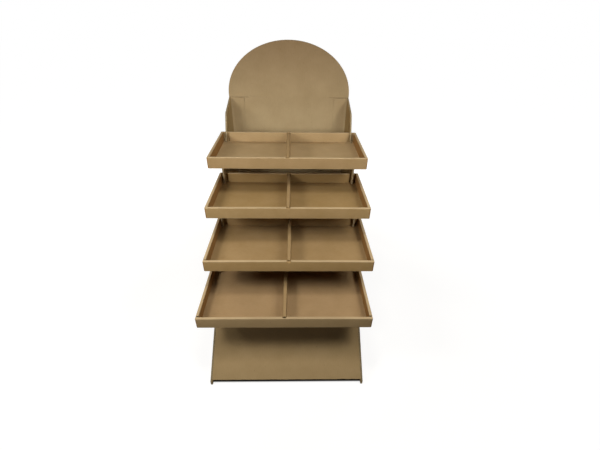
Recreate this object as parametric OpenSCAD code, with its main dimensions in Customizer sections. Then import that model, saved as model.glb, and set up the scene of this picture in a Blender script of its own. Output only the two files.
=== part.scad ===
// Stepped cardboard display stand: four shallow trays on two stair-cut side panels,
// a back panel that rises into an arched header, and a sloping front panel.
// Millimetres. X is to the right, Y to the back, Z up. The origin is on the floor,
// under the middle of the stand.

/* [Trays] */
// Outside width of a tray
tray_w = 600; // [480:5:760]
// Outside depth of a tray
tray_d = 300; // [270:5:360]
// Height of a tray over its rim
tray_h = 44; // [36:1:70]
// Thickness of the board that the trays and dividers are folded from
tray_t = 3; // [2:0.5:4]
// Width of the flat rim on top of the roll-over walls
rim_w = 10; // [9:1:13]
// Outer radius of a tray's upright corner folds
corner_r = 4; // [3:0.5:8]
// Outer radius of the folds at a tray's rim and foot, and of a divider's folds
fold_r = 2; // [1:0.5:2.5]
// Length of the tabs that lock a tray's inner walls in its floor
tab_l = 40; // [20:1:60]
// How far the end of a lock tab lies above the tray's underside
tab_recess = 1; // [0.5:0.1:1.5]
// Gap where the rims of two walls meet in a corner
rim_slit = 2; // [1:0.5:4]
// How far each tray sits to the right of the middle, from the top one down
tray_shift = [0, 3, 7, -7]; // [-7:1:7]

/* [Dividers] */
// Width of the folded divider
divider_w = 10; // [8:1:14]
// Width of the notch in a tray's rim that takes the divider's tongue
notch_w = 15; // [15:1:24]
// Depth of that notch below the rim
notch_h = 14; // [8:1:20]
// How far the top of the tongue lies below the rim
tongue_drop = 5; // [4:1:6]
// Gap between a divider and the walls beside its ends
divider_gap = 0.5; // [0.2:0.1:1]

/* [Stair] */
// Horizontal step from one tray to the next
step_y = 136; // [110:1:150]
// Vertical step from one tray to the next
step_z = 135; // [110:1:180]
// Height of the lowest tray's underside above the floor
low_tray_z = 247; // [220:1:400]
// How far a riser stands in front of the back of the tray at its foot
riser_inset = 26; // [20:1:40]
// Width of the notch for a riser in a tray's back rim and inner back wall
slot_w = 27; // [25:1:27]
// Room on each side of a riser in the slit of the outer back wall
riser_play = 1; // [0.5:0.5:2]
// Room around a tray's floor in the slit at the foot of a riser
slit_gap = 0.5; // [0.3:0.1:1.5]

/* [Side panels] */
// Thickness of the heavy board of the side and back panels
board_t = 7; // [5:0.5:8]
// How far a tray stands out past the side panels
side_overhang = 20; // [20:1:24]
// How far the toes stand in front of the lowest tray
toe_reach = 58; // [20:1:120]
// Height of the upright toe at the front of a side panel
toe_h = 18; // [8:1:20]
// Height at which the sloping front edge meets the front riser
apron_h = 173; // [120:1:190]
// Distance from the top tray to the back panel
back_gap = 164; // [100:1:240]
// How far the wing's front corner lies behind the top tray
wing_back = 31; // [10:1:50]
// Height of the wing's front corner above the top tray's rim
wing_rise = 70; // [50:1:90]
// Radius of the wing's front corner
wing_r = 25; // [8:1:30]
// Width of the glue flange along the back of a side panel
flange_w = 62; // [30:1:90]
// Thickness of the crushed glue flange
flange_t = 3; // [2:0.5:4]
// Thickness to which the inner edge of the glue flange is crushed
flange_tip = 0.6; // [0.4:0.1:1.5]
// Width of the crushed edge over which the glue flange thins out
flange_taper = 14; // [5:1:25]
// Outer radius of the fold between a side panel and its glue flange
back_fold_r = 4; // [2:0.5:5]

/* [Back panel and header] */
// Height of the header's crease above the top tray's rim
crease_rise = 110; // [100:1:160]
// Straight height between the crease and the foot of the arch
spring_h = 12; // [5:1:60]
// Rise of the arch
arch_rise = 224; // [150:1:280]
// Depth of the crease pressed into the front of the sheet
crease_depth = 1.2; // [0.6:0.1:2]
// Length of the relief slot at each end of the crease
relief_l = 82; // [40:1:120]
// Distance of a relief slot from the edge of the back panel
relief_edge = 11; // [9:1:30]
// Height of a relief slot, a cut that lets the header fold
relief_h = 1.2; // [0.8:0.1:3]

/* [Front panel] */
// Thickness of the front panel's board
front_t = 4; // [3:0.5:6]
// Radius on the hollow side of the front panel's folds
front_fold_r = 1.5; // [0.5:0.5:4]
// Height of the front panel's lower edge above the floor
front_gap = 22; // [20:1:60]
// Depth of the front panel's glue flaps and of its top flange
flap_d = 40; // [25:1:60]

/* [Hidden] */
kraft = "#a88f66";
kraft_dark = "#9c835c";
kraft_light = "#b09770";
tray_count = 4;
arch_steps = 60;
fillet_steps = 6;
rim_sides = 32;
cut = 1;

stand_w = tray_w - 2 * side_overhang;
inner_w = stand_w - 2 * board_t;
slot_x = (stand_w - board_t) / 2;
stair_d = (tray_count - 1) * step_y + tray_d;
stand_d = toe_reach + stair_d + back_gap + board_t;
toe_y = -stand_d / 2;
back_face = stand_d / 2 - board_t;
apron_y = riser_y(tray_count) - step_y;
top_rim = tray_base(1) + tray_h;
crease_z = top_rim + crease_rise;
relief_out = stand_w / 2 - relief_edge;

// Places on the stair: tray 1 is the top one

function tray_front(i) = toe_y + toe_reach + (tray_count - i) * step_y;
function tray_back(i) = tray_front(i) + tray_d;
function tray_base(i) = low_tray_z + (tray_count - i) * step_z;
function riser_y(i) = tray_back(i) - riser_inset;

// Outlines of folded sheets

function unit(v) = v / norm(v);
function left_of(a, b) = let (d = unit(b - a)) [-d[1], d[0]];

// The point of an open outline moved a thickness to its left, mitred at a fold
function moved(p, i, t) =
    let (last = len(p) - 1)
    let (before = left_of(p[max(i - 1, 0)], p[max(i, 1)]))
    let (after = left_of(p[min(i, last - 1)], p[min(i + 1, last)]))
    p[i] + t * (before + after) / (1 + before * after);

// A sheet of thickness t that follows the outline p and lies to its left
function folded(p, t) =
    concat(p, [for (i = [len(p) - 1:-1:0]) moved(p, i, t)]);

// The corner at b rounded between its neighbours a and c
function rounded(a, b, c, r) =
    let (u = unit(a - b), v = unit(c - b))
    let (half = acos(u * v) / 2)
    let (centre = b + unit(u + v) * r / sin(half))
    let (from = b + u * r / tan(half) - centre)
    let (to = b + v * r / tan(half) - centre)
    let (first = atan2(from[1], from[0]), turn = atan2(to[1], to[0]) - first)
    let (sweep = turn > 180 ? turn - 360 : turn < -180 ? turn + 360 : turn)
    [for (k = [0:fillet_steps])
        let (at = first + sweep * k / fillet_steps)
        centre + r * [cos(at), sin(at)]];

// What a fold takes off a square edge at the origin, with the sheet at +X and -Y
module edge_round(r) {
    difference() {
        translate([-cut, -r]) square(r + cut);
        translate([r, -r]) circle(r, $fn = rim_sides);
    }
}

// Side panels

// Tread, slit and riser at the back of one tray
function stair(i) = [
    [tray_back(i) + slit_gap, tray_base(i)],
    [tray_back(i) + slit_gap, tray_base(i) + tray_t + slit_gap],
    [riser_y(i), tray_base(i) + tray_t + slit_gap],
    if (i > 1) [riser_y(i), tray_base(i - 1)],
];

function wing() =
    let (foot = [riser_y(1), tray_base(1) + tray_t + slit_gap])
    let (corner = [tray_back(1) + wing_back, top_rim + wing_rise])
    rounded(foot, corner, [back_face, crease_z], wing_r);

function side_outline() = concat(
    [[toe_y, 0], [toe_y, toe_h], [apron_y, apron_h], [apron_y, tray_base(tray_count)]],
    [for (i = [tray_count:-1:1]) each stair(i)],
    wing(),
    [[back_face, crease_z], [back_face, 0]]
);

// A flat outline in Y and Z, given a width along X from x
module across(x, width) {
    translate([x, 0, 0])
        rotate([90, 0, 90])
            linear_extrude(width) children();
}

// Section of the glue flange, which thins out towards its inner edge
module flange_section() {
    tip = inner_w / 2 - flange_w;
    polygon([
        [inner_w / 2 + cut, back_face],
        [tip, back_face],
        [tip, back_face - flange_tip],
        [tip + flange_taper, back_face - flange_t],
        [inner_w / 2 + cut, back_face - flange_t],
    ]);
}

// The stair-cut web with its glue flange folded in along the back panel
module side_panel() {
    difference() {
        across(inner_w / 2, board_t) polygon(side_outline());
        translate([stand_w / 2, back_face, -cut])
            linear_extrude(crease_z + 2 * cut)
                mirror([1, 0]) edge_round(back_fold_r);
    }
    linear_extrude(crease_z - relief_h) flange_section();
}

module side_panel_right() {
    color(kraft) side_panel();
}

module side_panel_left() {
    color(kraft) mirror([1, 0, 0]) side_panel();
}

// Back panel with its header

function arch() = [
    for (k = [0:arch_steps])
        let (a = 180 * k / arch_steps)
        [stand_w / 2 * cos(a), crease_z + spring_h + arch_rise * sin(a)]
];

module crease() {
    across(-stand_w / 2 - cut, stand_w + 2 * cut)
        polygon([
            [back_face - cut, crease_z - crease_depth - cut],
            [back_face + crease_depth, crease_z],
            [back_face - cut, crease_z + crease_depth + cut],
        ]);
}

module relief_slot() {
    translate([relief_out - relief_l, back_face - cut, crease_z - relief_h / 2])
        cube([relief_l, board_t + 2 * cut, relief_h]);
}

module back_panel() {
    color(kraft_light) difference() {
        translate([0, back_face + board_t, 0])
            rotate([90, 0, 0])
                linear_extrude(board_t)
                    polygon(concat([[-stand_w / 2, 0], [stand_w / 2, 0]], arch()));
        crease();
        for (side = [0, 1]) mirror([side, 0, 0]) relief_slot();
    }
}

// Front panel: a slope, an upright and a flange under the lowest tray

function slope_y(z) = toe_y + (apron_y - toe_y) * (z - toe_h) / (apron_h - toe_h);

module front_panel() {
    lower_edge = [slope_y(front_gap), front_gap];
    fold = [apron_y, apron_h];
    shelf = [apron_y, tray_base(tray_count)];
    color(kraft_dark) {
        across(-inner_w / 2, inner_w)
            polygon(folded(concat(
                [shelf + [flap_d, 0]],
                rounded(shelf + [flap_d, 0], shelf, fold, front_t + front_fold_r),
                rounded(shelf, fold, lower_edge, front_fold_r),
                [lower_edge]
            ), front_t));
        for (x = [-inner_w / 2, inner_w / 2 - front_t])
            across(x, front_t)
                polygon([fold, lower_edge, lower_edge + [flap_d, 0], fold + [flap_d, 0]]);
    }
}

// Trays

// A tray's outline, a distance in from its outer faces
module tray_plan(inset) {
    r = max(corner_r - inset, 0);
    w = tray_w - 2 * inset;
    d = tray_d - 2 * inset;
    translate([-w / 2, inset]) {
        translate([r, 0]) square([w - 2 * r, d]);
        translate([0, r]) square([w, d - 2 * r]);
        if (r > 0)
            for (x = [r, w - r], y = [r, d - r])
                translate([x, y]) circle(r, $fn = rim_sides);
    }
}

// The band of a tray's outline between two distances from its outer faces
module band(outer, inner, z, height) {
    translate([0, 0, z])
        linear_extrude(height)
            difference() {
                tray_plan(outer);
                tray_plan(inner);
            }
}

// Floor, outer wall, rim and inner wall of the folded sheet
module folded_walls() {
    linear_extrude(tray_t) tray_plan(0);
    band(0, tray_t, 0, tray_h);
    band(0, rim_w, tray_h - tray_t, tray_t);
    band(rim_w - tray_t, rim_w, 0, tray_h);
}

// Turns its child's run along X to lie along each side of a tray's outline, a distance in
module each_side(inset) {
    for (quarter = [0:3]) {
        out = (quarter % 2 == 0 ? tray_d : tray_w) / 2;
        $run = (quarter % 2 == 0 ? tray_w : tray_d) - 2 * inset;
        $tabs = quarter % 2 == 0 ? [-1, 1] : [0];
        translate([0, tray_d / 2])
            rotate(90 * quarter)
                translate([0, inset - out]) children();
    }
}

// Rounding of the folds around the outside of a tray, at its rim or foot
module outer_folds() {
    corners = 2 * corner_r;
    each_side(0) {
        across((corners - $run) / 2, $run - corners) edge_round(fold_r);
        translate([$run / 2 - corner_r, corner_r])
            rotate(-90)
                rotate_extrude(angle = 90, $fn = rim_sides)
                    translate([corner_r, 0]) mirror([1, 0]) edge_round(fold_r);
    }
}

// Rounding of the folds between the rim and the inner walls
module inner_folds() {
    each_side(rim_w)
        mirror([0, 1, 0]) across(-$run / 2, $run) edge_round(fold_r);
}

// Slots in the floor that the tabs of the inner walls fill from above
module tab_slots() {
    each_side(rim_w - tray_t)
        for (k = $tabs)
            translate([k * $run / 4 - tab_l / 2, 0, -cut])
                cube([tab_l, tray_t, tab_recess + cut]);
}

// Parting of the side rim and side wall from the front ones
module rim_parting() {
    translate([tray_w / 2 - rim_w - cut, rim_w, tray_h - tray_t])
        cube([rim_w + 2 * cut, rim_slit, tray_t + cut]);
    translate([tray_w / 2 - rim_w - cut, rim_w, tray_t])
        cube([tray_t + cut, rim_slit, tray_h]);
}

// Notch for a riser in the back rim and the inner back wall
module riser_notch(x) {
    translate([x - slot_w / 2, tray_d - rim_w - cut, tray_t])
        cube([slot_w, rim_w - tray_t + cut, tray_h]);
}

// Slit for a riser in the outer back wall
module riser_slit(x) {
    width = board_t + 2 * riser_play;
    translate([x - width / 2, tray_d - tray_t - cut, tray_t])
        cube([width, tray_t + 2 * cut, tray_h]);
}

// Notches in the front and back rims; the outer walls stay whole
module divider_notch() {
    translate([-notch_w / 2, tray_t, tray_h - notch_h])
        cube([notch_w, tray_d - 2 * tray_t, notch_h + cut]);
}

module tray(i) {
    color(i % 2 == 0 ? kraft : kraft_light)
        translate([tray_shift[i - 1], tray_front(i), tray_base(i)])
            difference() {
                folded_walls();
                translate([0, 0, tray_h]) {
                    outer_folds();
                    inner_folds();
                }
                mirror([0, 0, 1]) outer_folds();
                tab_slots();
                for (side = [0, 1]) mirror([side, 0, 0]) rim_parting();
                for (side = [-1, 1]) {
                    riser_notch(side * slot_x);
                    riser_slit(side * slot_x - tray_shift[i - 1]);
                }
                divider_notch();
            }
}

module tray_1() { tray(1); }
module tray_2() { tray(2); }
module tray_3() { tray(3); }
module tray_4() { tray(4); }

// Dividers

// A strip folded double, with a tongue at each end that rests in the rim's notch
module divider(i) {
    length = tray_d - 2 * (rim_w + divider_gap);
    height = tray_h - tray_t;
    half = divider_w / 2;
    tongue_h = notch_h - tongue_drop;
    tongue_l = tray_d - 2 * (tray_t + divider_gap);
    color(kraft_dark)
        translate([tray_shift[i - 1], tray_front(i) + tray_d / 2, tray_base(i) + tray_t]) {
            translate([0, length / 2, 0])
                rotate([90, 0, 0])
                    linear_extrude(length)
                        difference() {
                            translate([-half, 0]) square([divider_w, height]);
                            translate([tray_t - half, -cut])
                                square([divider_w - 2 * tray_t, height - tray_t + cut]);
                            for (side = [0, 1])
                                mirror([side, 0]) translate([-half, height]) edge_round(fold_r);
                        }
            translate([-half, -tongue_l / 2, height - notch_h])
                cube([divider_w, tongue_l, tongue_h]);
        }
}

module divider_1() { divider(1); }
module divider_2() { divider(2); }
module divider_3() { divider(3); }
module divider_4() { divider(4); }

back_panel();
side_panel_left();
side_panel_right();
front_panel();
tray_1();
tray_2();
tray_3();
tray_4();
divider_1();
divider_2();
divider_3();
divider_4();
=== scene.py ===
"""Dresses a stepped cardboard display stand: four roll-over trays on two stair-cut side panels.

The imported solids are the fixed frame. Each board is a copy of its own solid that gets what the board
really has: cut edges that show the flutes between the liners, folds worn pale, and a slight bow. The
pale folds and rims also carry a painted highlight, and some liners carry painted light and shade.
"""

from __future__ import annotations

import logging
import math
from dataclasses import dataclass, field, replace
from enum import Enum, IntEnum
from typing import Any

import bmesh
import bpy
from mathutils import Matrix, Vector

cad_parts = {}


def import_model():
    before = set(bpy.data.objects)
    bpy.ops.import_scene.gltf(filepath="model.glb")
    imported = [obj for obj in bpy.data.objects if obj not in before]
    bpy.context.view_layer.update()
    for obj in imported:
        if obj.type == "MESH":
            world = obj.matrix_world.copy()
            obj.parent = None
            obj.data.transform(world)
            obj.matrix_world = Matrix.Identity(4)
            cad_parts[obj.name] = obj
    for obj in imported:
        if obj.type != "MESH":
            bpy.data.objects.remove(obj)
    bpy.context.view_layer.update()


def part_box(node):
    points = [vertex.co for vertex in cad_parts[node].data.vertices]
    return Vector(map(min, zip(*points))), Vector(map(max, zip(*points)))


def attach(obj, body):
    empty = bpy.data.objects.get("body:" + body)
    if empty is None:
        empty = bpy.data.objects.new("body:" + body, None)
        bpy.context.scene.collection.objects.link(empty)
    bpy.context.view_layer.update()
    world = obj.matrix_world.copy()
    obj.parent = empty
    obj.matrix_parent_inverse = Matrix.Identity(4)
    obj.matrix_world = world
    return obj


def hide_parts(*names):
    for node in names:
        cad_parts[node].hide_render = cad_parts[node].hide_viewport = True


Tree = bpy.types.NodeTree
Socket = bpy.types.NodeSocket

LOG = logging.getLogger("display_stand")
MM = 0.001
BODY = "root"

# Width of the picture that the camera is fitted to, in pixels, and of the camera's sensor
IMAGE_W = 600
SENSOR_MM = 36.0

# Spacing of the flutes in the two layers of double-wall board
FINE_FLUTE_MM = 6.5
COARSE_FLUTE_MM = 7.9

# Numbers of a Mix node's sockets for colours
MIX_A = 6
MIX_B = 7
MIX_RESULT = 2

# Limits for reading a solid's faces
WELD = 0.001 * MM
FLAT_TURN = math.radians(0.5)
SQUARE = 0.999
SPAN_SLACK = 0.2 * MM
FLANGE_TILT = 0.2
# Factor on a sheet's own depth up to which a point still belongs to it
NEAR = 1.1
# Turn from which on an edge stays sharp in the shading
SHARP_TURN = math.radians(32)


class Axis(IntEnum):
    """The axes of the frame, as places in a vector."""

    X = 0
    Y = 1
    Z = 2

    def unit(self) -> Vector:
        """Gives the unit vector along the axis."""
        return Vector([float(axis == self) for axis in Axis])


class Side(IntEnum):
    """The sides of the stand, as signs along X."""

    LEFT = -1
    RIGHT = 1


class Part(Enum):
    """The kinds of surface that a board shows, as material slots of its mesh."""

    LINER = 0
    FOLD = 1
    EDGE = 2
    # Liner of another shade or direction: a tray's side walls, darkened as painted shade, or a glue
    # flange
    SECOND_LINER = 3
    OUTSIDE = 4


class Lines(Enum):
    """Direction in which a board's flutes repeat, as weights on X, Y and Z."""

    ACROSS = (1.0, 0.0, 0.0)
    DEPTH = (0.0, 1.0, 0.0)
    AROUND = (1.0, 1.0, 0.0)
    UP_THE_FRONT = (0.0, 1.0, 1.0)


def linear(colour: str) -> tuple[float, float, float, float]:
    """Turns an sRGB hex colour into linear light.

    Args:
        colour: Six hex digits after a hash sign.

    Returns:
        Red, green, blue and a full alpha.
    """
    parts = [int(colour[i : i + 2], 16) / 255 for i in (1, 3, 5)]
    lit = [c / 12.92 if c <= 0.04045 else ((c + 0.055) / 1.055) ** 2.4 for c in parts]
    return (lit[0], lit[1], lit[2], 1.0)


def empty_tree(owner: bpy.types.Material | bpy.types.World) -> Tree:
    """Gives a material or a world an empty node tree.

    Args:
        owner: What the nodes are for.

    Returns:
        Its node tree.
    """
    owner.use_nodes = True
    owner.node_tree.nodes.clear()
    return owner.node_tree


def add_node(
    tree: Tree,
    kind: str,
    values: dict[str | int, Any] | None = None,
    links: dict[str | int, Socket] | None = None,
    **settings: Any,
) -> bpy.types.Node:
    """Adds a node with its settings and links.

    Args:
        tree: Node tree that takes the node.
        kind: Type name of the node.
        values: Constant for each named or numbered input.
        links: Output that feeds each named or numbered input.
        **settings: Attributes of the node.

    Returns:
        The new node.
    """
    node = tree.nodes.new(kind)
    for name, value in settings.items():
        setattr(node, name, value)
    for socket, value in (values or {}).items():
        node.inputs[socket].default_value = value
    for socket, source in (links or {}).items():
        tree.links.new(source, node.inputs[socket])
    return node


@dataclass(frozen=True)
class KraftFinish:
    """Unbleached kraft liner, machine-made and glued over flutes.

    It gives the eye a matt brown with cloudy formation, fine streaks of fibre along the flutes, a few
    dark bark specks, and faint lines of painted shade where the liner dips between the flutes.
    """

    name: str
    light: str
    dark: str
    lines: Lines
    flute_mm: float
    roughness: float = 0.82
    specular: float = 0.12
    cloud_mm: float = 70.0
    cloud_detail: float = 4.0
    cloud_roughness: float = 0.55
    # Length and width of a fibre. Real ones are about 3 by 0.03 mm: drawn coarser, so that they show
    fibre_mm: tuple[float, float] = (12.0, 2.2)
    fibre_detail: float = 3.0
    fibre_roughness: float = 0.6
    # Share of the fibres in the sheet's tone, that of the painted shade along the flute lines, and the
    # range of the mixed noise that goes from the dark shade to the light one
    fibre_share: float = 0.35
    line_shade: float = 0.03
    tone_range: tuple[float, float] = (0.28, 0.72)
    # Colour and spacing of the specks. Real ones are under 0.5 mm: drawn coarser, so that they show
    speck: str = "#55442b"
    speck_mm: float = 22.0
    # Radius where a speck starts and where it is full, in parts of the spacing, and how strong it is
    speck_radius: tuple[float, float] = (0.07, 0.028)
    speck_strength: float = 0.45
    washboard_mm: float = 0.04
    tooth_mm: float = 0.03
    # Light and dark colour of the painted shade that darkens the sheet towards the top, and the heights
    # where that starts and ends
    painted_top_shade: tuple[str, str] | None = None
    painted_top_shade_mm: tuple[float, float] = (0.0, 1000.0)

    def fibres(self, tree: Tree, place: Socket) -> Socket:
        """Draws the fibres: long along the flutes, short across them.

        Args:
            tree: Node tree that takes the nodes.
            place: Socket with the place on the sheet.

        Returns:
            A noise socket.
        """
        long, short = (1 / (MM * size) for size in self.fibre_mm)
        stretch = Vector([short if weight else long for weight in self.lines.value])
        grain = add_node(tree, "ShaderNodeMapping", {"Scale": stretch}, {"Vector": place}).outputs[0]
        return add_node(
            tree,
            "ShaderNodeTexNoise",
            {"Scale": 1.0, "Detail": self.fibre_detail, "Roughness": self.fibre_roughness},
            {"Vector": grain},
        ).outputs[0]

    def flutes(self, tree: Tree, place: Socket) -> Socket:
        """Draws the flutes under the liner, as a wave across them.

        Args:
            tree: Node tree that takes the nodes.
            place: Socket with the place on the sheet.

        Returns:
            A socket that swings between minus one and one.
        """
        across = add_node(
            tree,
            "ShaderNodeVectorMath",
            {1: self.lines.value},
            {0: place},
            operation="DOT_PRODUCT",
        ).outputs["Value"]
        turn = add_node(
            tree,
            "ShaderNodeMath",
            {1: math.tau / (MM * self.flute_mm)},
            {0: across},
            operation="MULTIPLY",
        ).outputs[0]
        return add_node(tree, "ShaderNodeMath", None, {0: turn}, operation="SINE").outputs[0]

    def tone(self, tree: Tree, place: Socket, fibre: Socket, flute: Socket) -> Socket:
        """Sets how light the sheet is, by clouds and fibres and a little by painted shade along the
        flute lines.

        Args:
            tree: Node tree that takes the nodes.
            place: Socket with the place on the sheet.
            fibre: Socket of the fibres.
            flute: Socket of the flutes.

        Returns:
            A socket that is zero for the dark shade and one for the light one.
        """
        cloud = add_node(
            tree,
            "ShaderNodeTexNoise",
            {
                "Scale": 1 / (MM * self.cloud_mm),
                "Detail": self.cloud_detail,
                "Roughness": self.cloud_roughness,
            },
            {"Vector": place},
        ).outputs[0]
        soft = add_node(
            tree, "ShaderNodeMix", {"Factor": self.fibre_share}, {"A": cloud, "B": fibre}
        ).outputs[0]
        # Painted shade along the flute lines
        lined = add_node(
            tree,
            "ShaderNodeMath",
            {1: self.line_shade},
            {0: flute, 2: soft},
            operation="MULTIPLY_ADD",
        ).outputs[0]
        low, high = self.tone_range
        return add_node(
            tree, "ShaderNodeMapRange", {"From Min": low, "From Max": high}, {"Value": lined}
        ).outputs[0]

    def shade(self, tree: Tree, place: Socket, tone: Socket) -> Socket:
        """Gives the sheet's own brown, darkened towards the top by painted shade.

        Args:
            tree: Node tree that takes the nodes.
            place: Socket with the place on the sheet.
            tone: Socket that is zero for the dark shade and one for the light one.

        Returns:
            A colour socket.
        """
        unshaded = add_node(
            tree,
            "ShaderNodeMix",
            {MIX_A: linear(self.dark), MIX_B: linear(self.light)},
            {0: tone},
            data_type="RGBA",
        ).outputs[MIX_RESULT]
        if self.painted_top_shade is None:
            return unshaded
        light, dark = self.painted_top_shade
        shaded = add_node(
            tree,
            "ShaderNodeMix",
            {MIX_A: linear(dark), MIX_B: linear(light)},
            {0: tone},
            data_type="RGBA",
        ).outputs[MIX_RESULT]
        height = add_node(tree, "ShaderNodeSeparateXYZ", None, {0: place}).outputs[Axis.Z]
        start, end = self.painted_top_shade_mm
        share = add_node(
            tree,
            "ShaderNodeMapRange",
            {"From Min": MM * start, "From Max": MM * end},
            {"Value": height},
        ).outputs[0]
        return add_node(
            tree, "ShaderNodeMix", None, {0: share, MIX_A: unshaded, MIX_B: shaded}, data_type="RGBA"
        ).outputs[MIX_RESULT]

    def specked(self, tree: Tree, place: Socket, sheet: Socket) -> Socket:
        """Strews dark bark specks over the sheet.

        Args:
            tree: Node tree that takes the nodes.
            place: Socket with the place on the sheet.
            sheet: Socket with the sheet's own colour.

        Returns:
            A colour socket.
        """
        spots = add_node(
            tree, "ShaderNodeTexVoronoi", {"Scale": 1 / (MM * self.speck_mm)}, {"Vector": place}
        ).outputs["Distance"]
        start, full = self.speck_radius
        speck = add_node(
            tree,
            "ShaderNodeMapRange",
            {"From Min": start, "From Max": full, "To Max": self.speck_strength},
            {"Value": spots},
        ).outputs[0]
        return add_node(
            tree,
            "ShaderNodeMix",
            {MIX_B: linear(self.speck)},
            {0: speck, MIX_A: sheet},
            data_type="RGBA",
        ).outputs[MIX_RESULT]

    def relief(self, tree: Tree, fibre: Socket, flute: Socket) -> Socket:
        """Raises the washboard over the flutes and the tooth of the fibres.

        Args:
            tree: Node tree that takes the nodes.
            fibre: Socket of the fibres.
            flute: Socket of the flutes.

        Returns:
            A normal socket.
        """
        washboard = add_node(
            tree,
            "ShaderNodeBump",
            {"Strength": 1.0, "Distance": MM * self.washboard_mm / 2},
            {"Height": flute},
        ).outputs[0]
        return add_node(
            tree,
            "ShaderNodeBump",
            {"Strength": 1.0, "Distance": MM * self.tooth_mm},
            {"Height": fibre, "Normal": washboard},
        ).outputs[0]

    def material(self) -> bpy.types.Material:
        """Builds the liner's material.

        Returns:
            The material, with all patterns in object space.
        """
        made = bpy.data.materials.new(self.name)
        tree = empty_tree(made)
        place = add_node(tree, "ShaderNodeTexCoord").outputs["Object"]
        fibre = self.fibres(tree, place)
        flute = self.flutes(tree, place)
        sheet = self.shade(tree, place, self.tone(tree, place, fibre, flute))
        shader = add_node(
            tree,
            "ShaderNodeBsdfPrincipled",
            {"Roughness": self.roughness, "Specular IOR Level": self.specular},
            {
                "Base Color": self.specked(tree, place, sheet),
                "Normal": self.relief(tree, fibre, flute),
            },
        ).outputs[0]
        add_node(tree, "ShaderNodeOutputMaterial", None, {"Surface": shader})
        return made


@dataclass(frozen=True)
class CutEdgeFinish:
    """Cut edge of corrugated board, die-cut and a little crushed.

    It gives the eye a paler, greyer brown than the liner, broken by short darker patches: painted shade
    of the gaps between the flutes.
    """

    name: str
    light: str
    dark: str
    gap_mm: float
    gap_detail: float = 2.0
    # Range of the noise that goes from the dark shade to the light one
    tone_range: tuple[float, float] = (0.35, 0.6)
    roughness: float = 0.95
    specular: float = 0.05
    fuzz_mm: float = 0.15

    def material(self) -> bpy.types.Material:
        """Builds the cut edge's material.

        Returns:
            The material, with its pattern in object space.
        """
        made = bpy.data.materials.new(self.name)
        tree = empty_tree(made)
        place = add_node(tree, "ShaderNodeTexCoord").outputs["Object"]
        # Noise for the painted shade of the gaps between the flutes, and for the fuzz
        gap_shade_and_fuzz = add_node(
            tree,
            "ShaderNodeTexNoise",
            {"Scale": 1 / (MM * self.gap_mm), "Detail": self.gap_detail},
            {"Vector": place},
        ).outputs[0]
        low, high = self.tone_range
        tone = add_node(
            tree, "ShaderNodeMapRange", {"From Min": low, "From Max": high}, {"Value": gap_shade_and_fuzz}
        ).outputs[0]
        colour = add_node(
            tree,
            "ShaderNodeMix",
            {MIX_A: linear(self.dark), MIX_B: linear(self.light)},
            {0: tone},
            data_type="RGBA",
        ).outputs[MIX_RESULT]
        fuzz = add_node(
            tree,
            "ShaderNodeBump",
            {"Strength": 1.0, "Distance": MM * self.fuzz_mm},
            {"Height": gap_shade_and_fuzz},
        ).outputs[0]
        shader = add_node(
            tree,
            "ShaderNodeBsdfPrincipled",
            {"Roughness": self.roughness, "Specular IOR Level": self.specular},
            {"Base Color": colour, "Normal": fuzz},
        ).outputs[0]
        add_node(tree, "ShaderNodeOutputMaterial", None, {"Surface": shader})
        return made


# The panels are cut from different sheets, so the browns of their liners differ a little. On top of
# that, the right panel's liner is darkened as painted shade, and the back and front panels' are
# lightened partly as painted light
SIDE_LINER = KraftFinish(
    "kraft_liner_double_wall",
    "#a4895e",
    "#977d51",
    Lines.AROUND,
    COARSE_FLUTE_MM,
    washboard_mm=0.02,
    line_shade=0.012,
)
# Darker liner of the right panel: painted shade on its inner face
RIGHT_SHADED_LINER = replace(SIDE_LINER, name="kraft_liner_right_painted_shade", light="#997d52", dark="#8c7146")
# The back panel's paler liner is partly its own sheet and partly painted light; painted shade darkens
# it towards the header's top
BACK_LINER = replace(
    SIDE_LINER,
    name="kraft_liner_back",
    light="#c2aa81",
    dark="#b59d74",
    lines=Lines.ACROSS,
    painted_top_shade=("#927958", "#856d4c"),
)
# The front panel's liner, lightened a little as painted light
FRONT_LINER = replace(
    SIDE_LINER,
    name="kraft_liner_front",
    light="#ad9268",
    dark="#a0865c",
    lines=Lines.ACROSS,
    flute_mm=FINE_FLUTE_MM,
)

# Thin board of the trays and dividers. Its folds and rim tops are paler, partly from fibres rubbed at
# the folds and partly as a painted highlight where they face the light
TRAY_LINER = KraftFinish(
    "kraft_liner_tray", "#a3875e", "#947951", Lines.UP_THE_FRONT, FINE_FLUTE_MM
)
# The trays' side walls: the same sheet, darker and redder as painted shade inside the tray
TRAY_SIDE_SHADED_LINER = replace(
    TRAY_LINER, name="kraft_liner_tray_side_painted_shade", light="#977142", dark="#896437", lines=Lines.DEPTH
)
DIVIDER_LINER = replace(TRAY_LINER, name="kraft_liner_divider", lines=Lines.DEPTH)
# Paler liner of the folds and rim tops: worn fibres, and a painted highlight
WORN_AND_HIGHLIT_FOLD = replace(
    TRAY_LINER, name="kraft_liner_worn_fold_painted_highlight", light="#bba37b", dark="#aa906b", speck="#736145"
)

# Cut edges of the panels and the trays
CUT_EDGE = CutEdgeFinish("corrugated_cut_edge", "#b19d79", "#92805f", 2.5)


@dataclass(frozen=True)
class Flute:
    """One layer inside a board: corrugated medium, or a flat liner where it doesn't swing."""

    pitch_mm: float
    # Middle of the layer, and how far its wave swings, across the board
    centre_mm: float
    swing_mm: float


@dataclass(frozen=True)
class EdgeRun:
    """One straight stretch of a board's cut edge, along the middle of its thickness."""

    start: Vector
    end: Vector
    outward: Vector


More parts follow.
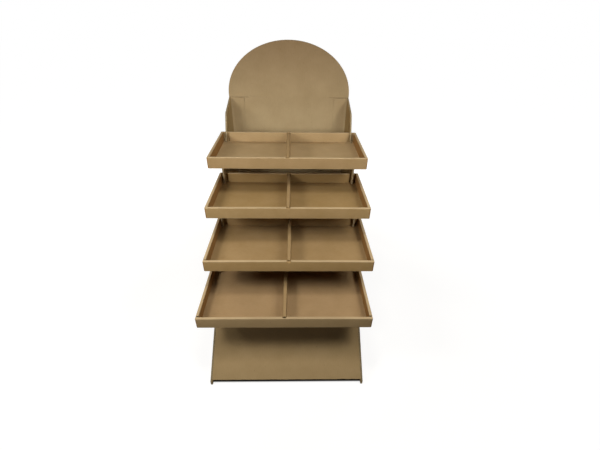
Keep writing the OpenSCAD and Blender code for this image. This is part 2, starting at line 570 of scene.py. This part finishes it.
@dataclass
class Sheet:
    """A sheet of board that stands for one solid of the frame."""

    node: str
    slot: str
    finishes: dict[Part, bpy.types.Material]
    solid: bmesh.types.BMesh = field(init=False)

    def __post_init__(self) -> None:
        """Copies the solid and joins the triangles of each flat face."""
        self.solid = bmesh.new()
        self.solid.from_mesh(bpy.data.objects[self.node].data)
        bmesh.ops.remove_doubles(self.solid, verts=self.solid.verts, dist=WELD)
        bmesh.ops.dissolve_limit(
            self.solid,
            angle_limit=FLAT_TURN,
            verts=self.solid.verts,
            edges=self.solid.edges,
        )
        for face in self.solid.faces:
            face.material_index = Part.LINER.value

    def corners(self) -> tuple[Vector, Vector]:
        """Gives the lowest and highest corner of the solid."""
        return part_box(self.node)

    def bisect(self, geometry: list[Any], axis: Axis, place: float) -> None:
        """Cuts faces at a place along one axis, so that they can bend there.

        Args:
            geometry: Corners, edges and faces to cut.
            axis: Axis across the cut.
            place: Coordinate of the cut, in metres.
        """
        normal = axis.unit()
        bmesh.ops.bisect_plane(
            self.solid, geom=geometry, dist=WELD, plane_co=normal * place, plane_no=normal
        )

    def slice(self, axis: Axis, places: list[float]) -> None:
        """Cuts every face at places along one axis.

        Args:
            axis: Axis across the cuts.
            places: Coordinates of the cuts, in metres.
        """
        for place in places:
            self.bisect([*self.solid.verts, *self.solid.edges, *self.solid.faces], axis, place)

    def slice_evenly(self, axis: Axis, parts: int) -> None:
        """Cuts the sheet into equal parts along one axis.

        Args:
            axis: Axis across the cuts.
            parts: Number of parts.
        """
        low, high = (corner[axis] for corner in self.corners())
        self.slice(axis, [low + (high - low) * k / parts for k in range(1, parts)])

    def finish(self) -> bpy.types.Object:
        """Makes the piece from the copied solid and hangs it in the frame.

        Returns:
            The dressed piece.
        """
        mesh = bpy.data.meshes.new(f"{self.node}_board")
        self.solid.normal_update()
        self.solid.to_mesh(mesh)
        self.solid.free()
        for part in Part:
            mesh.materials.append(self.finishes.get(part, self.finishes[Part.LINER]))
        mesh.shade_smooth()
        mesh.set_sharp_from_angle(angle=SHARP_TURN)
        piece = bpy.data.objects.new(mesh.name, mesh)
        bpy.context.scene.collection.objects.link(piece)
        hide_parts(self.node)
        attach(piece, BODY)
        LOG.info("%s: %d faces", piece.name, len(mesh.polygons))
        return piece


@dataclass
class CorrugatedBoard(Sheet):
    """A board whose cut edges show its liners and the flutes between them."""

    # Axis across the board, and axis along which its flutes repeat
    through: Axis
    repeat: Axis
    thickness: float
    flutes: tuple[Flute, ...]
    liner: float = 0.7 * MM
    # How deep the core lies behind the liners, and over which width a liner slopes down to it
    recess: float = 0.5 * MM
    slope: float = 0.07 * MM
    # Real medium is about 0.2 mm thick: drawn coarser, so that the flutes show
    medium: float = 0.5 * MM
    # How far behind the liners the medium starts and ends
    medium_top: float = 0.05 * MM
    medium_foot: float = 0.65 * MM
    # Points on one wave of a flute
    samples: int = 10

    def is_cut(self, face: bmesh.types.BMFace) -> bool:
        """Tells whether a face is a cut edge that runs through the whole board.

        Args:
            face: A face of the solid.

        Returns:
            True for a face across the board that spans its thickness.
        """
        if abs(face.normal[self.through]) > 1 - SQUARE:
            return False
        spread = [v.co[self.through] for v in face.verts]
        return abs(max(spread) - min(spread) - self.thickness) < SPAN_SLACK

    def runs(self, faces: list[bmesh.types.BMFace]) -> list[EdgeRun]:
        """Reads the stretches of cut edge.

        Args:
            faces: Cut faces of the solid.

        Returns:
            One run for each face, along its middle.
        """
        found = []
        for face in faces:
            along = face.normal.cross(self.through.unit())
            flat = []
            for vert in face.verts:
                spot = vert.co.copy()
                spot[self.through] = face.calc_center_bounds()[self.through]
                flat.append(spot)
            flat.sort(key=along.dot)
            found.append(EdgeRun(flat[0], flat[-1], face.normal.copy()))
        return found

    def open_edges(self) -> None:
        """Sinks the core of each cut edge between the liners and lays the flutes in it."""
        cut = [face for face in self.solid.faces if self.is_cut(face)]
        runs = self.runs(cut)
        for face in cut:
            face.material_index = Part.EDGE.value
        for width, depth in ((self.liner, 0.0), (self.slope, -self.recess)):
            bmesh.ops.inset_region(
                self.solid,
                faces=cut,
                thickness=width,
                depth=depth,
                use_boundary=True,
                use_even_offset=True,
            )
        for run in runs:
            for flute in self.flutes:
                self.lay_ribbon(run, flute)

    def lay_ribbon(self, run: EdgeRun, flute: Flute) -> None:
        """Lays the cut end of one layer along a stretch of edge.

        Args:
            run: The stretch of edge.
            flute: The layer.
        """
        axis = self.through.unit()
        pitch = MM * flute.pitch_mm
        reach = abs(run.end[self.repeat] - run.start[self.repeat])
        steps = max(1, math.ceil(reach / pitch * self.samples)) if flute.swing_mm else 1
        half = self.medium / 2
        section = (
            (-half, self.medium_top),
            (half, self.medium_top),
            (half, self.medium_foot),
            (-half, self.medium_foot),
        )
        sides = len(section)
        last = None
        for k in range(steps + 1):
            spot = run.start.lerp(run.end, k / steps)
            turn = math.tau * spot[self.repeat] / pitch
            across = MM * (flute.centre_mm + flute.swing_mm * math.sin(turn))
            ring = [
                self.solid.verts.new(spot + axis * (across + side) - run.outward * deep)
                for side, deep in section
            ]
            if last is None:
                self.close(ring[::-1])
            else:
                for i in range(sides):
                    after = (i + 1) % sides
                    self.close([last[i], last[after], ring[after], ring[i]])
            last = ring
        self.close(last)

    def close(self, ring: list[bmesh.types.BMVert]) -> None:
        """Adds one face of a ribbon."""
        self.solid.faces.new(ring).material_index = Part.EDGE.value


@dataclass
class SidePanel(CorrugatedBoard):
    """A stair-cut side panel, with its glue flange folded in along the back panel."""

    side: Side = Side.RIGHT
    flange_w: float = 62 * MM
    flange_t: float = 3 * MM
    # Height over which the flange has come loose, and how far its corner lifts
    peel_h: float = 70 * MM
    peel: float = 5 * MM
    peel_cuts: int = 5
    # Places of the panel's inner face and of the back panel's front
    inner: float = field(init=False)
    back: float = field(init=False)

    def __post_init__(self) -> None:
        """Copies the solid and reads where the flange lies."""
        super().__post_init__()
        low, high = self.corners()
        outer = high.x if self.side is Side.RIGHT else low.x
        self.inner = outer - self.side * self.thickness
        self.back = high.y

    def build(self) -> bpy.types.Object:
        """Builds the panel.

        Returns:
            The dressed piece.
        """
        self.open_edges()
        self.peel_flange()
        self.show_inside()
        return self.finish()

    def show_inside(self) -> None:
        """Gives the front of the flange the back panel's liner, which it matches in shade."""
        for face in self.solid.faces:
            if face.material_index == Part.LINER.value and face.normal.y < -SQUARE + FLANGE_TILT:
                if self.side * (self.inner - face.calc_center_bounds().x) > WELD:
                    face.material_index = Part.SECOND_LINER.value

    def peel_flange(self) -> None:
        """Lifts the flange's top corner a little off the back panel, where its glue let go."""
        foot = max(v.co.z for v in self.solid.verts if self.on_flange(v.co)) - self.peel_h
        for k in range(self.peel_cuts):
            self.cut_flange(Axis.Z, foot + self.peel_h * (k + 1 / 2) / self.peel_cuts)
        for k in range(1, self.peel_cuts):
            self.cut_flange(Axis.X, self.inner - self.side * self.flange_w * k / self.peel_cuts)
        for vert in self.solid.verts:
            if self.on_flange(vert.co) and vert.co.z > foot:
                rise = (vert.co.z - foot) / self.peel_h
                reach = abs(vert.co.x - self.inner) / self.flange_w
                vert.co.y -= self.peel * rise**2 * reach**2

    def on_flange(self, spot: Vector) -> bool:
        """Tells whether a point lies on the flange, away from its fold."""
        inside = self.side * (self.inner - spot.x) > WELD
        return inside and spot.y > self.back - self.flange_t - WELD

    def cut_flange(self, axis: Axis, place: float) -> None:
        """Cuts the flange across, so that it can bend there.

        Args:
            axis: Axis across the cut.
            place: Coordinate of the cut, in metres.
        """
        faces = [f for f in self.solid.faces if any(self.on_flange(v.co) for v in f.verts)]
        # Keys of a dict keep their order, so that every run cuts alike
        edges = dict.fromkeys(edge for face in faces for edge in face.edges)
        verts = dict.fromkeys(vert for face in faces for vert in face.verts)
        self.bisect([*verts, *edges, *faces], axis, place)


@dataclass
class BackPanel(CorrugatedBoard):
    """The back panel, which rises over a crease into the arched header."""

    crease_z: float = 0.0
    # A face this close to the crease, and this far from the panel's edge, belongs to a relief slot
    slot_reach: float = 4 * MM
    # The board springs back, so what is left of the crease is shallow
    crease_left: float = 0.08

    def is_cut(self, face: bmesh.types.BMFace) -> bool:
        """Tells whether a face is a cut edge, but leaves the narrow relief slots as they are.

        Args:
            face: A face of the solid.

        Returns:
            True for a face across the board that isn't in a relief slot.
        """
        centre = face.calc_center_bounds()
        _, high = self.corners()
        at_crease = abs(centre.z - self.crease_z) < self.slot_reach
        in_slot = at_crease and abs(centre.x) < high.x - self.slot_reach
        return super().is_cut(face) and not in_slot

    def build(self) -> bpy.types.Object:
        """Builds the panel.

        Returns:
            The dressed piece.
        """
        self.open_edges()
        self.soften_crease()
        return self.finish()

    def soften_crease(self) -> None:
        """Lifts the bottom of the pressed crease towards the face of the sheet."""
        low, _ = self.corners()
        for vert in self.solid.verts:
            depth = vert.co.y - low.y
            if abs(vert.co.z - self.crease_z) < WELD and depth < self.thickness / 2:
                vert.co.y = low.y + self.crease_left * depth


@dataclass
class FrontPanel(Sheet):
    """The sloping front panel with its flaps and its flange under the lowest tray."""

    board_t: float = 4 * MM
    # Mean width under which a face is a cut edge
    edge_w: float = 6 * MM

    def build(self) -> bpy.types.Object:
        """Builds the panel, with its narrow faces as cut edges and its folds left alone.

        Returns:
            The dressed piece.
        """
        for face in self.solid.faces:
            lengths = [edge.calc_length() for edge in face.edges]
            if min(lengths) >= self.board_t and face.calc_area() < self.edge_w * max(lengths):
                face.material_index = Part.EDGE.value
        return self.finish()


@dataclass
class Tray(Sheet):
    """A roll-over tray, folded from one sheet."""

    floor_t: float = 3 * MM
    rim_w: float = 10 * MM
    # Area under which an upright face is a cut through the folded walls
    cut_area: float = 350 * MM * MM
    parts_x: int = 12
    parts_y: int = 6
    # How far the floor sags, and the front wall bows, at their middle
    sag: float = 1.5 * MM
    front_bow: float = 1.5 * MM
    # Width and depth of the gap that is left at the foot of the inner back wall
    foot_gap: float = 2.5 * MM
    foot_drop: float = 2 * MM
    # Half the width over which the front fold is pressed down at the divider's notch, and how far
    notch_half: float = 7.5 * MM
    notch_dip: float = 0.0
    # Width of the slit between the front and side rims, and how much wider it gapes
    rim_slit: float = 2 * MM
    slit_gape: float = 0.0

    def build(self) -> bpy.types.Object:
        """Builds the tray.

        Returns:
            The dressed piece.
        """
        low, high = self.corners()
        for face in self.solid.faces:
            face.material_index = self.part_of(face, low.y, high.z).value
        self.slice_evenly(Axis.X, self.parts_x)
        self.slice_evenly(Axis.Y, self.parts_y)
        self.press_notch(low, high)
        self.open_foot(low, high)
        self.open_slits(low, high)
        self.bow(low, high)
        return self.finish()

    def part_of(self, face: bmesh.types.BMFace, front: float, top: float) -> Part:
        """Tells which finish a face of the tray has.

        Args:
            face: A face of the solid.
            front: Place of the outer front wall.
            top: Height of the rim.

        Returns:
            The kind of surface.
        """
        centre = face.calc_center_bounds()
        bent = max(abs(c) for c in face.normal) < SQUARE
        # Rim tops and bent faces take the paler fold finish, which holds a painted highlight
        on_rim = face.normal.z > SQUARE and abs(centre.z - top) < WELD
        if on_rim or (bent and abs(face.normal.z) > 1 - SQUARE):
            return Part.FOLD
        if abs(face.normal.z) < SQUARE and not bent and face.calc_area() < self.cut_area:
            return Part.EDGE
        if abs(face.normal.x) > SQUARE or bent:
            return Part.SECOND_LINER
        if face.normal.y < -SQUARE and centre.y < front + WELD:
            return Part.OUTSIDE
        return Part.LINER

    def press_notch(self, low: Vector, high: Vector) -> None:
        """Presses the front fold down where the divider's tongue was pushed in.

        Args:
            low: Lowest corner of the solid.
            high: Highest corner of the solid.
        """
        middle = (low.x + high.x) / 2
        self.slice(Axis.X, [middle + self.notch_half * k for k in (-1, 0, 1)])
        for face in self.solid.faces:
            centre = face.calc_center_bounds()
            beside = abs(centre.x - middle) < self.notch_half and centre.y < low.y + self.rim_w
            if beside and face.material_index == Part.FOLD.value and self.notch_dip:
                face.material_index = Part.OUTSIDE.value
        for vert in self.solid.verts:
            at_fold = vert.co.y < low.y + self.floor_t + WELD and vert.co.z > high.z - self.floor_t
            if at_fold and abs(vert.co.x - middle) < SPAN_SLACK:
                vert.co.z -= self.notch_dip

    def open_foot(self, low: Vector, high: Vector) -> None:
        """Opens the narrow gap between the floor and the inner back wall, which isn't glued there.

        Args:
            low: Lowest corner of the solid.
            high: Highest corner of the solid.
        """
        wall = high.y - self.rim_w
        self.slice(Axis.Y, [wall - self.foot_gap])
        for vert in self.solid.verts:
            on_floor = abs(vert.co.z - low.z - self.floor_t) < SPAN_SLACK
            if on_floor and abs(vert.co.y - wall) < SPAN_SLACK:
                vert.co.z -= self.foot_drop

    def open_slits(self, low: Vector, high: Vector) -> None:
        """Draws the front ends of the side rims back, so that the slits there gape.

        Args:
            low: Lowest corner of the solid.
            high: Highest corner of the solid.
        """
        end = low.y + self.rim_w + self.rim_slit
        for vert in self.solid.verts:
            on_rim = vert.co.z > high.z - NEAR * self.floor_t
            if on_rim and abs(vert.co.y - end) < SPAN_SLACK:
                vert.co.y += self.slit_gape

    def bow(self, low: Vector, high: Vector) -> None:
        """Lets the floor sag and the front wall bow.

        Args:
            low: Lowest corner of the solid.
            high: Highest corner of the solid.
        """
        size = high - low
        for vert in self.solid.verts:
            across = math.sin(math.pi * (vert.co.x - low.x) / size.x)
            depth = math.sin(math.pi * (vert.co.y - low.y) / size.y)
            rise = (vert.co.z - low.z) / size.z
            if vert.co.z < low.z + NEAR * self.floor_t:
                vert.co.z -= self.sag * across * depth**2
            elif vert.co.y < low.y + NEAR * self.rim_w:
                vert.co.y += self.front_bow * across * rise


@dataclass
class Divider(Sheet):
    """A strip folded double that parts a tray in two."""

    parts: int = 8
    # How far each leaf springs out at the middle of its length
    spring: float = 1.5 * MM
    # How far a tongue reaches past the strip and lies below its top, and how far the front one is
    # crushed down into its notch
    tongue: float = 7 * MM
    tongue_drop: float = 5 * MM
    tongue_sink: float = 0.0

    def build(self) -> bpy.types.Object:
        """Builds the divider, a little sprung open between the tray's walls.

        Returns:
            The dressed piece.
        """
        low, high = self.corners()
        for vert in self.solid.verts:
            on_tongue = vert.co.y < low.y + self.tongue + SPAN_SLACK
            if on_tongue and abs(vert.co.z - high.z + self.tongue_drop) < SPAN_SLACK:
                vert.co.z -= self.tongue_sink
        self.slice_evenly(Axis.Y, self.parts)
        middle = (low.x + high.x) / 2
        for vert in self.solid.verts:
            along = math.sin(math.pi * (vert.co.y - low.y) / (high.y - low.y))
            vert.co.x += math.copysign(self.spring * along, vert.co.x - middle)
        return self.finish()


@dataclass(frozen=True)
class TrayBlank:
    """The sheet that one tray is folded from, and how its divider was pushed in."""

    # Light and dark shade of the liner on each side, which carry some painted light
    inside: tuple[str, str]
    outside: tuple[str, str]
    notch_dip_mm: float
    tongue_sink_mm: float = 0.0
    # How far the side rims have drawn back from the front one
    slit_gape_mm: float = 0.0

    def liners(self, number: int) -> dict[Part, bpy.types.Material]:
        """Builds the liners on the two sides of the sheet.

        Args:
            number: Number of the tray, from the top down.

        Returns:
            The liner that shows inside the tray and the one on its outer front.
        """
        sides = (
            (Part.LINER, f"kraft_liner_tray_{number}", self.inside),
            (Part.OUTSIDE, f"kraft_liner_tray_{number}_outside", self.outside),
        )
        return {
            part: replace(TRAY_LINER, name=name, light=light, dark=dark).material()
            for part, name, (light, dark) in sides
        }


@dataclass
class DisplayStand:
    """The whole stand: its boards in the order in which it is put up."""

    # From the top down: the shades differ partly as kraft does from sheet to sheet and partly as
    # painted
    # light: the top tray's inside and the lower trays' outer fronts are painted paler
    blanks: tuple[TrayBlank, ...] = (
        TrayBlank(("#b79b71", "#a88d63"), ("#a3875f", "#947951"), 3.0),
        TrayBlank(("#a18457", "#927649"), ("#a68a5f", "#987c51"), 8.0),
        TrayBlank(("#a2855b", "#93774d"), ("#af9060", "#a08252"), 7.0, slit_gape_mm=1.5),
        TrayBlank(
            ("#a78962", "#987b54"), ("#c1a376", "#b29569"), 0.0, tongue_sink_mm=8.0, slit_gape_mm=3.0
        ),
    )
    # Double-wall board: a fine flute, a coarse one and the flat liner between them
    double_wall: tuple[Flute, ...] = (
        Flute(FINE_FLUTE_MM, 1.75, 1.1),
        Flute(COARSE_FLUTE_MM, -1.45, 1.4),
        Flute(COARSE_FLUTE_MM, 0.3, 0.0),
    )
    # How far below the header's crease the painted shade on the back panel starts
    painted_top_shade_h: float = 110 * MM

    def build(self) -> None:
        """Builds every board."""
        shared = {Part.FOLD: WORN_AND_HIGHLIT_FOLD.material(), Part.EDGE: CUT_EDGE.material()}
        self.build_panels(shared)
        self.build_trays(shared)

    def build_panels(self, shared: dict[Part, bpy.types.Material]) -> None:
        """Builds the side, back and front panels.

        Args:
            shared: Finishes of the folds and the cut edges.
        """
        _, panel_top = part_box("side_panel_left")
        back_low, back_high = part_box("back_panel")
        board_t = back_high.y - back_low.y
        painted_top_shade_mm = ((panel_top.z - self.painted_top_shade_h) / MM, back_high.z / MM)
        back = replace(BACK_LINER, painted_top_shade_mm=painted_top_shade_mm).material()
        for name, side, liner in (
            ("side_panel_left", Side.LEFT, SIDE_LINER),
            ("side_panel_right", Side.RIGHT, RIGHT_SHADED_LINER),
        ):
            SidePanel(
                name,
                "heavy_board",
                {**shared, Part.LINER: liner.material(), Part.SECOND_LINER: back},
                Axis.X,
                Axis.Y,
                board_t,
                self.double_wall,
                side=side,
            ).build()
        BackPanel(
            "back_panel",
            "heavy_board",
            {**shared, Part.LINER: back},
            Axis.Y,
            Axis.X,
            board_t,
            self.double_wall,
            crease_z=panel_top.z,
        ).build()
        FrontPanel(
            "front_panel", "front_board", {**shared, Part.LINER: FRONT_LINER.material()}
        ).build()

    def build_trays(self, shared: dict[Part, bpy.types.Material]) -> None:
        """Builds the trays, each with its divider.

        Args:
            shared: Finishes of the folds and the cut edges.
        """
        side_wall = TRAY_SIDE_SHADED_LINER.material()
        divided = {Part.LINER: DIVIDER_LINER.material()}
        for i, blank in enumerate(self.blanks, start=1):
            Tray(
                f"tray_{i}",
                "tray_board",
                {**shared, Part.SECOND_LINER: side_wall, **blank.liners(i)},
                notch_dip=MM * blank.notch_dip_mm,
                slit_gape=MM * blank.slit_gape_mm,
            ).build()
            Divider(
                f"divider_{i}", "divider_board", divided, tongue_sink=MM * blank.tongue_sink_mm
            ).build()


@dataclass(frozen=True)
class SoftLamp:
    """A soft box, aimed at the middle of the stand unless told otherwise."""

    name: str
    place_mm: tuple[float, float, float]
    watts: float
    aim_mm: tuple[float, float, float] = (0, 0, 550)
    width_mm: float = 250
    height_mm: float = 200

    def build(self) -> bpy.types.Object:
        """Builds the lamp and aims it.

        Returns:
            The lamp.
        """
        light = bpy.data.lights.new(self.name, "AREA")
        light.shape = "RECTANGLE"
        light.size = MM * self.width_mm
        light.size_y = MM * self.height_mm
        light.energy = self.watts
        lamp = bpy.data.objects.new(self.name, light)
        place = MM * Vector(self.place_mm)
        toward = MM * Vector(self.aim_mm) - place
        turned = toward.to_track_quat("-Z", "Y").to_matrix().to_4x4()
        lamp.matrix_world = Matrix.Translation(place) @ turned
        lamp.visible_camera = False
        bpy.context.scene.collection.objects.link(lamp)
        return lamp


@dataclass(frozen=True)
class Studio:
    """A matt floor that goes white to the camera, a white surround and soft boxes."""

    lamps: tuple[SoftLamp, ...]
    floor_half: float = 12000 * MM
    floor_colour: str = "#84817b"
    # White that the camera sees on top of the floor's own light: this much near the stand, and full
    # from fade_far on
    white_near: float = 0.86
    fade_near: float = 700 * MM
    fade_far: float = 1600 * MM
    # Where that white ends inside the stand's footprint, and over which width: under the stand only
    # the shadow shows
    footprint_inset: tuple[float, float] = (3.5 * MM, 10 * MM)
    footprint_fade: float = 2 * MM
    white: str = "#ffffff"
    ambient: float = 0.003
    ambient_colour: str = "#fff4e6"

    def build(self) -> None:
        """Builds the floor, the surround and the lamps."""
        self.build_floor()
        self.build_world()
        for lamp in self.lamps:
            lamp.build()

    def seen(self, tree: Tree) -> Socket:
        """Tells rays that show the surround from rays that light the object.

        Args:
            tree: Node tree that needs it.

        Returns:
            A socket that is one for camera, glossy and transmission rays.
        """
        path = add_node(tree, "ShaderNodeLightPath").outputs
        shown = path["Is Camera Ray"]
        for kind in ("Is Glossy Ray", "Is Transmission Ray"):
            shown = add_node(
                tree, "ShaderNodeMath", None, {0: shown, 1: path[kind]}, operation="MAXIMUM"
            ).outputs[0]
        return shown

    def outside(self, tree: Tree, place: Socket) -> Socket:
        """Tells the floor around the stand from the floor under it.

        Args:
            tree: Node tree that needs it.
            place: Socket with the place on the floor.

        Returns:
            A socket that is one outside the footprint of the panels and zero inside.
        """
        inset_x, inset_y = self.footprint_inset
        half = [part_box("side_panel_right")[1].x - inset_x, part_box("back_panel")[1].y - inset_y, 0.0]
        spread = add_node(
            tree, "ShaderNodeVectorMath", None, {0: place}, operation="ABSOLUTE"
        ).outputs[0]
        past = add_node(
            tree, "ShaderNodeVectorMath", {1: half}, {0: spread}, operation="SUBTRACT"
        ).outputs[0]
        sides = add_node(tree, "ShaderNodeSeparateXYZ", None, {0: past}).outputs
        furthest = add_node(
            tree, "ShaderNodeMath", None, {0: sides[Axis.X], 1: sides[Axis.Y]}, operation="MAXIMUM"
        ).outputs[0]
        return add_node(
            tree,
            "ShaderNodeMapRange",
            {"From Min": -self.footprint_fade, "From Max": self.footprint_fade},
            {"Value": furthest},
        ).outputs[0]

    def floor_material(self) -> bpy.types.Material:
        """Builds the floor's material: matt painted board, near white to the camera.

        Returns:
            The material, which still shows the stand's shadow.
        """
        made = bpy.data.materials.new("pale_floor")
        tree = empty_tree(made)
        matt = add_node(
            tree, "ShaderNodeBsdfDiffuse", {"Color": linear(self.floor_colour)}
        ).outputs[0]
        place = add_node(tree, "ShaderNodeTexCoord").outputs["Object"]
        away = add_node(
            tree, "ShaderNodeVectorMath", None, {0: place}, operation="LENGTH"
        ).outputs["Value"]
        strength = add_node(
            tree,
            "ShaderNodeMapRange",
            {"From Min": self.fade_near, "From Max": self.fade_far, "To Min": self.white_near},
            {"Value": away},
        ).outputs[0]
        for limit in (self.seen(tree), self.outside(tree, place)):
            strength = add_node(
                tree, "ShaderNodeMath", None, {0: strength, 1: limit}, operation="MULTIPLY"
            ).outputs[0]
        glow = add_node(tree, "ShaderNodeEmission", None, {"Strength": strength}).outputs[0]
        shader = add_node(tree, "ShaderNodeAddShader", None, {0: matt, 1: glow}).outputs[0]
        add_node(tree, "ShaderNodeOutputMaterial", None, {"Surface": shader})
        return made

    def build_floor(self) -> None:
        """Builds the floor, a flat square that keeps shadows."""
        mesh = bpy.data.meshes.new("floor")
        half = self.floor_half
        square = [(-half, -half, 0), (half, -half, 0), (half, half, 0), (-half, half, 0)]
        mesh.from_pydata(square, [], [(0, 1, 2, 3)])
        mesh.materials.append(self.floor_material())
        floor = bpy.data.objects.new("floor", mesh)
        bpy.context.scene.collection.objects.link(floor)

    def build_world(self) -> None:
        """Builds the surround: white to the camera, dim to the object."""
        world = bpy.data.worlds.new("studio")
        tree = empty_tree(world)
        shown = add_node(
            tree, "ShaderNodeBackground", {"Color": linear(self.white), "Strength": 1.0}
        ).outputs[0]
        dim = add_node(
            tree,
            "ShaderNodeBackground",
            {"Color": linear(self.ambient_colour), "Strength": self.ambient},
        ).outputs[0]
        both = add_node(
            tree, "ShaderNodeMixShader", None, {0: self.seen(tree), 1: dim, 2: shown}
        ).outputs[0]
        add_node(tree, "ShaderNodeOutputWorld", None, {"Surface": both})
        bpy.context.scene.world = world


# Soft boxes on both sides of the camera and above it, a weak fill low on the left, and two behind
# the stand that light its back and outer sides
STUDIO = Studio(
    (
        SoftLamp("far_left_box", (-1300, -600, 1250), 3.2),
        SoftLamp("left_box", (-650, -600, 960), 4.1),
        SoftLamp("right_box", (650, -600, 1250), 3.4),
        SoftLamp("low_right_box", (650, -600, 930), 1.8),
        SoftLamp("top_box", (0, -450, 1550), 4.9),
        SoftLamp("high_box", (0, -400, 2300), 1.5),
        SoftLamp("low_fill", (-800, -1200, 350), 1.3),
        SoftLamp("back_left_box", (-1100, 1500, 900), 11.0, (0, 300, 450), 500, 400),
        SoftLamp("back_right_box", (1100, 1500, 900), 11.0, (0, 300, 450), 500, 400),
    )
)


@dataclass(frozen=True)
class PhotoCamera:
    """The camera that took the picture: a wide lens, a little above the header, looking down."""

    place_mm: tuple[float, float, float] = (23.5, -1142.6, 1167.0)
    focal_px: float = 326.34
    pitch_deg: float = 34.006
    yaw_deg: float = 1.334
    roll_deg: float = 0.911

    def build(self) -> None:
        """Builds the camera and makes it the scene's own."""
        pitch, yaw, roll = (
            math.radians(a) for a in (self.pitch_deg, self.yaw_deg, self.roll_deg)
        )
        ahead = Vector(
            (math.sin(yaw) * math.cos(pitch), math.cos(yaw) * math.cos(pitch), -math.sin(pitch))
        )
        level = Vector((math.cos(yaw), -math.sin(yaw), 0.0))
        above = level.cross(ahead)
        right = level * math.cos(roll) + above * math.sin(roll)
        up = above * math.cos(roll) - level * math.sin(roll)
        turned = Matrix((right, up, -ahead)).transposed().to_4x4()
        data = bpy.data.cameras.new("photo_camera")
        data.sensor_fit = "HORIZONTAL"
        data.sensor_width = SENSOR_MM
        data.lens = SENSOR_MM * self.focal_px / IMAGE_W
        camera = bpy.data.objects.new("photo_camera", data)
        camera.matrix_world = Matrix.Translation(MM * Vector(self.place_mm)) @ turned
        bpy.context.scene.collection.objects.link(camera)
        bpy.context.scene.camera = camera


def main() -> None:
    """Builds the stand, the studio and the camera."""
    logging.basicConfig(level=logging.INFO, format="%(name)s: %(message)s")
    bpy.context.scene.view_settings.view_transform = "Standard"
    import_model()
    DisplayStand().build()
    STUDIO.build()
    PhotoCamera().build()


if __name__ == "__main__":
    main()
